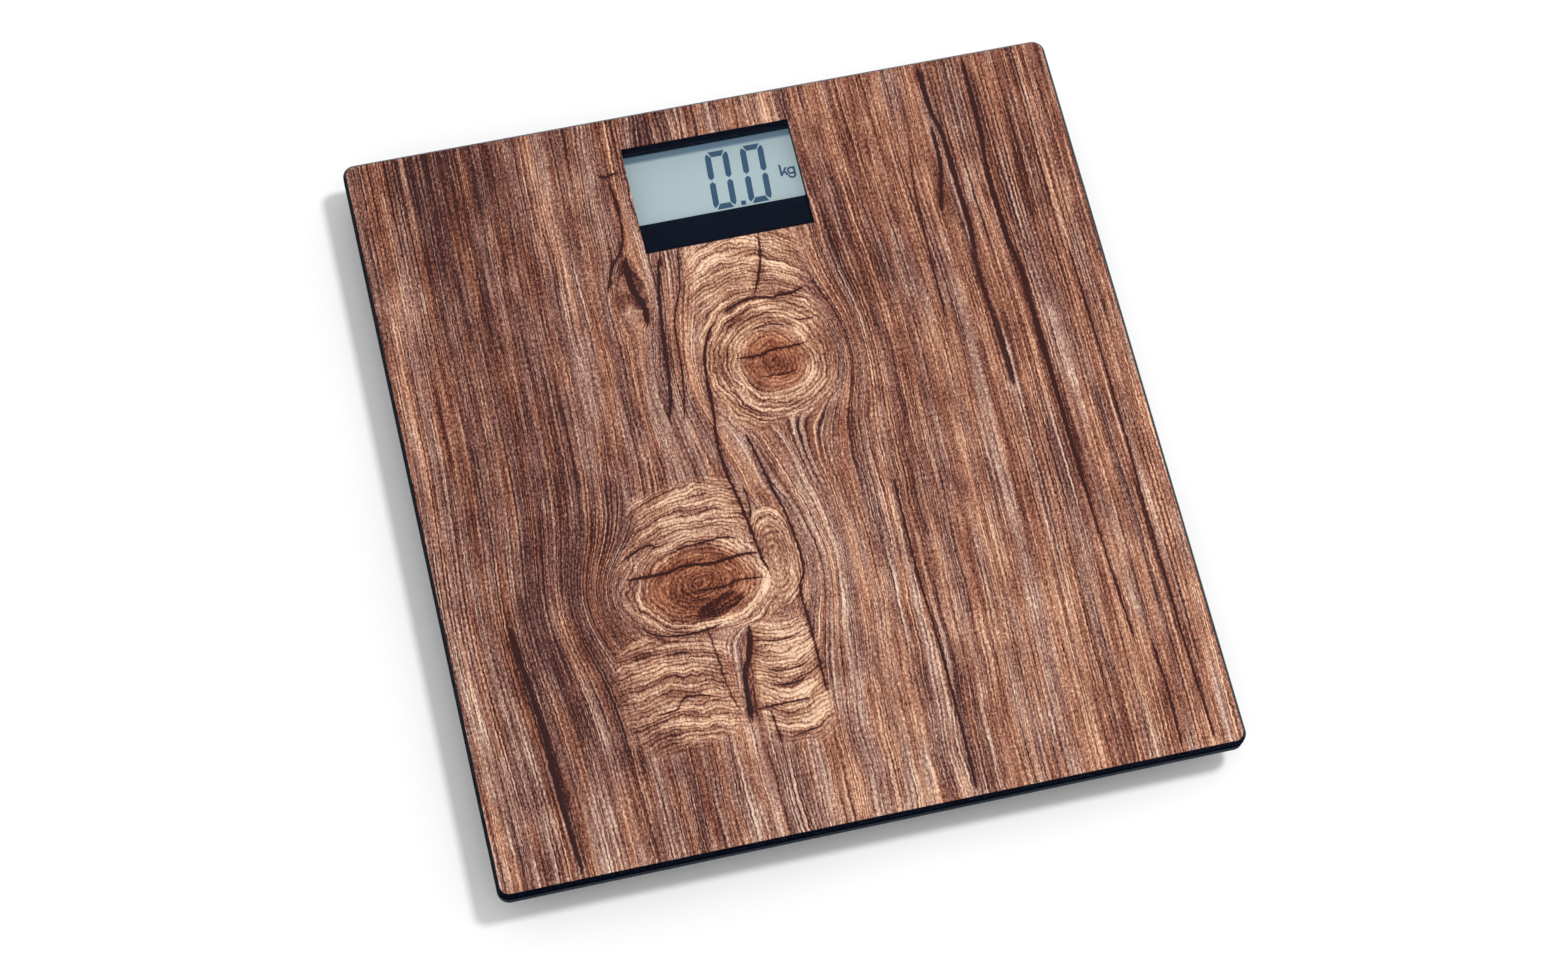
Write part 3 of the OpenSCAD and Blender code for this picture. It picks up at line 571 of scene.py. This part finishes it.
def glass_material():
    """Clear glass that lets straight light through to what is below it, with dull dark sides."""
    material, tree, shader = new_material(
        "platform_glass", Roughness=0.02, IOR=1.5, Transmission_Weight=1.0)
    shader.inputs["Specular Tint"].default_value = GLASS_MIRROR
    x, y, z = place(tree)
    cloud = noise(tree, x * 0.05, y * 0.05, z * 0.2)
    tree.links.new(two_tone(tree, cloud, GLASS_TINTS, 0.3), shader.inputs["Base Color"])
    let_through(tree, dark_sides(tree, shader), "Is Shadow Ray", "Is Diffuse Ray")
    return material


def metal(name, colour, roughness, stretch):
    """Rolled or plated metal; stretch gives the streaks' frequency per millimetre along each axis."""
    material, tree, shader = new_material(name, Metallic=1.0)
    x, y, z = place(tree)
    streak = noise(tree, x * stretch[0], y * stretch[1], z * stretch[2], detail=3, rough=0.6)
    stain = noise(tree, x * 0.25, y * 0.25, z * 0.25 + 4.0, detail=2)
    dull = tuple(c * 0.86 for c in colour)
    tree.links.new(two_tone(tree, streak * 0.6 + stain * 0.4, (dull, colour), 0.3),
                   shader.inputs["Base Color"])
    plug(tree, shader.inputs["Roughness"], stain.step(0.3, 0.7, roughness - 0.07, roughness + 0.1))
    bump(tree, shader, streak, 0.00002)
    return material


def moulded(name, colour, roughness, grain=3.0, depth=0.00004, shine=0.3, shadow=True):
    """Moulded plastic with a spark-eroded grain and faint cloudy wear."""
    material, tree, shader = new_material(name, Specular_IOR_Level=shine)
    x, y, z = place(tree)
    spark = noise(tree, x * grain, y * grain, z * grain, detail=3, rough=0.6)
    wear = noise(tree, x * 0.06, y * 0.06, z * 0.06, detail=3, rough=0.6)
    low = tuple(c * 0.92 for c in colour)
    high = tuple(min(255, c * 1.07) for c in colour)
    tree.links.new(two_tone(tree, spark * 0.7 + wear * 0.3, (low, high), 0.35),
                   shader.inputs["Base Color"])
    plug(tree, shader.inputs["Roughness"], wear.step(0.3, 0.7, roughness - 0.06, roughness + 0.08))
    bump(tree, shader, spark, depth)
    if not shadow:
        let_through(tree, shader.outputs[0], "Is Shadow Ray")
    return material


def turned_metal(name, colour, node):
    """Nickel-plated disc, turned about the middle of a node."""
    material, tree, shader = new_material(name, Metallic=1.0, Roughness=0.28)
    x, y, z = place(tree)
    low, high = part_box(node)
    middle = [(a + b) / 2 / MM for a, b in zip(low, high)]
    radius = ring_of(x, y, (middle[0], middle[1], 1, 1))
    groove = noise(tree, radius * 6.0, z * 2.0, 1.0, detail=2)
    dull = tuple(c * 0.85 for c in colour)
    tree.links.new(two_tone(tree, groove, (dull, colour), 0.35), shader.inputs["Base Color"])
    bump(tree, shader, groove, 0.00001)
    return material


def striped(name, colours, axis, pitch, roughness):
    """Two alternating colours along one axis, like the layers of an elastomer connector."""
    material, tree, shader = new_material(name, Roughness=roughness)
    along = place(tree)[axis]
    layer = (along * (2 * math.pi / pitch)).sine() * 0.5 + 0.5
    tree.links.new(two_tone(tree, layer, colours, 0.4), shader.inputs["Base Color"])
    bump(tree, shader, layer, 0.00002)
    return material


def board_material():
    """Green solder mask over copper traces."""
    material, tree, shader = new_material("board_green", Roughness=0.3)
    x, y, z = place(tree)
    route = noise(tree, x * 0.16, y * 0.16, z * 0.3, detail=0)
    trace = ((route * 60.0).sine() * 0.5 + 0.5).step(0.62, 0.72)
    glass_cloth = noise(tree, x * 2.0, y * 2.0, z * 2.0, detail=1)
    mask = two_tone(tree, glass_cloth, ((12, 74, 40), (18, 88, 48)), 0.35)
    copper = two_tone(tree, glass_cloth, ((26, 104, 56), (36, 118, 64)), 0.35)
    tree.links.new(blend_colour(tree, trace, mask, copper), shader.inputs["Base Color"])
    bump(tree, shader, trace, 0.00003)
    return material


# Chips on the board, in millimetres: from one to the next, each one's length, its tinned end
CHIP_PITCH, CHIP_LENGTH, CHIP_END = 3.2, 2.0, 0.4


def chip_material():
    """Ceramic chips with tinned ends, as spaced on the board."""
    material, tree, shader = new_material("ceramic_chips", Roughness=0.4)
    x, y, z = place(tree)
    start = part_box("smd_parts")[0][0] / MM
    along = (x - start).math("MODULO", CHIP_PITCH)
    inner = CHIP_LENGTH / 2 - CHIP_END
    tinned = (along - CHIP_LENGTH / 2).absolute().step(inner - 0.05, inner)
    speck = noise(tree, x * 4, y * 4, z * 4, detail=2)
    body = two_tone(tree, speck, ((150, 118, 84), (176, 144, 106)), 0.35)
    tin = two_tone(tree, speck, ((186, 186, 182), (214, 214, 210)), 0.35)
    tree.links.new(blend_colour(tree, tinned, body, tin), shader.inputs["Base Color"])
    plug(tree, shader.inputs["Metallic"], tinned)
    return material


GAUGE_PITCH = 0.7


def gauge_material():
    """Amber foil with a folded metal track."""
    material, tree, shader = new_material("gauge_foil", Roughness=0.3)
    x, y, z = place(tree)
    track = ((y * (2 * math.pi / GAUGE_PITCH)).sine() * 0.5 + 0.5).step(0.45, 0.55)
    speck = noise(tree, x * 3, y * 3, z * 3)
    foil = two_tone(tree, speck, ((176, 120, 40), (200, 144, 56)), 0.35)
    metal_track = two_tone(tree, speck, ((140, 132, 120), (170, 160, 146)), 0.35)
    tree.links.new(blend_colour(tree, track, foil, metal_track), shader.inputs["Base Color"])
    return material


# Colours of the LCD face at its front and rear; the rear one is a little darker, as painted shade
LCD_LOWER = ((170, 185, 190), (174, 189, 194))
LCD_UPPER = ((164, 180, 186), (168, 184, 190))
# Painted shadow: a blue band along the LCD's rear edge, where the display frame's rear wall would
# cast its shadow
LCD_PAINTED_SHADOW = (84, 108, 130)
PAINTED_SHADOW_START, PAINTED_SHADOW_END = 5.2, 3.4     # from the LCD's rear edge, in millimetres


def lcd_material():
    """Frosted polariser over a grey-green reflector, a little darker towards its rear edge as painted
    shade, with a blue painted shadow along that edge.
    """
    material, tree, shader = new_material("lcd_face", Roughness=0.4, Specular_IOR_Level=0.1)
    x, y, _ = place(tree)
    frost = noise(tree, x * 5, y * 5, 3.0, detail=2)
    front, rear = (corner[1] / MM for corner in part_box("lcd_panel"))
    # Painted shade: the face darkens a little from front to rear
    fade = y.step(front, rear)
    # Painted shadow: the blue band that the frame's rear wall would cast on the face
    shade = y.step(rear - PAINTED_SHADOW_START, rear - PAINTED_SHADOW_END) * (frost * 0.3 + 0.75)
    lower = two_tone(tree, frost, LCD_LOWER, 0.3)
    upper = two_tone(tree, frost, LCD_UPPER, 0.3)
    plain = blend_colour(tree, fade, lower, upper)
    tree.links.new(blend_colour(tree, shade, plain, seen(LCD_PAINTED_SHADOW)), shader.inputs["Base Color"])
    bump(tree, shader, frost, 0.000005)
    return material


CORNERS = ("front_left", "front_right", "rear_left", "rear_right")


def at_corners(name):
    return [name + "_" + corner for corner in CORNERS]


def dress_display():
    dress(lcd_material(), "lcd_panel")
    dress(moulded("lcd_ink", (58, 82, 108), 0.5, depth=0.000005, shine=0.05), "lcd_segments")
    dress(moulded("frame_black", (5, 8, 18), 0.5, shine=0.05, shadow=False), "display_frame")
    dress(metal("reflector_foil", (200, 202, 200), 0.4, (0.1, 6.0, 1.0)), "lcd_reflector")
    dress(striped("zebra_rubber", ((30, 30, 32), (150, 148, 140)), 0, 0.5, 0.6), "zebra_strips")


def dress_electronics():
    dress(board_material(), "main_board")
    dress(chip_material(), "smd_parts")
    dress(moulded("epoxy_black", (16, 16, 18), 0.25, grain=0.8), "chip_blob")
    dress(moulded("sleeve_blue", (34, 42, 82), 0.35), "buffer_capacitor")
    dress(moulded("plunger_black", (22, 22, 24), 0.4), "switch_plunger")
    dress(metal("tin_can", (206, 206, 202), 0.25, (0.2, 3.0, 3.0)), "clock_crystal")
    dress(metal("switch_cover", (178, 178, 176), 0.35, (4.0, 0.3, 1.0)), "tact_switch")
    dress(metal("zinc_screw", (196, 194, 184), 0.32, (2.0, 2.0, 2.0)),
          "display_screws", "retainer_screws")


def dress_battery():
    dress(turned_metal("nickel_cell", (206, 204, 196), "coin_cell"), "coin_cell")
    dress(metal("spring_strip", (208, 200, 180), 0.3, (0.3, 5.0, 1.0)),
          "battery_contact_positive", "battery_contact_negative")


def dress_wires():
    for colour_name, colour, names in (
            ("red", (190, 28, 28), ("sensor_wires_red", "battery_lead_positive")),
            ("white", (226, 226, 222), ("sensor_wires_white",)),
            ("black", (30, 30, 32), ("sensor_wires_black", "battery_lead_negative"))):
        dress(moulded("wire_" + colour_name, colour, 0.4, grain=1.5, depth=0.00002), *names)


def dress_casing():
    dress(wood_material(), "decor_film")
    dress(glass_material(), "glass_platform")
    dress(moulded("print_black", (2, 5, 17), 0.5, 1.0, depth=0.000005, shine=0.02, shadow=False),
          "back_print")
    dress(moulded("tray_plastic", (30, 38, 50), 0.5, shine=0.02), "base_tray", "battery_door")
    dress(moulded("foam_tape", (46, 46, 50), 0.9, grain=1.6, depth=0.0002), "platform_tape")
    dress(moulded("button_grey", (178, 182, 190), 0.4), "unit_button")


def dress_feet():
    dress(moulded("foot_plastic", (136, 144, 154), 0.45), *at_corners("foot_cup"))
    dress(moulded("foot_rubber", (40, 42, 46), 0.8, grain=2.2, depth=0.0001),
          *at_corners("foot_pad"))
    dress(moulded("retainer_plastic", (206, 208, 210), 0.45), *at_corners("sensor_retainer"))
    dress(metal("cell_steel", (190, 190, 190), 0.35, (0.3, 3.0, 1.0)), *at_corners("load_cell"))
    dress(gauge_material(), "strain_gauges")


make_camera()
make_sky()
make_key_light()
make_floor()
dress_casing()
dress_display()
dress_electronics()
dress_battery()
dress_wires()
dress_feet()
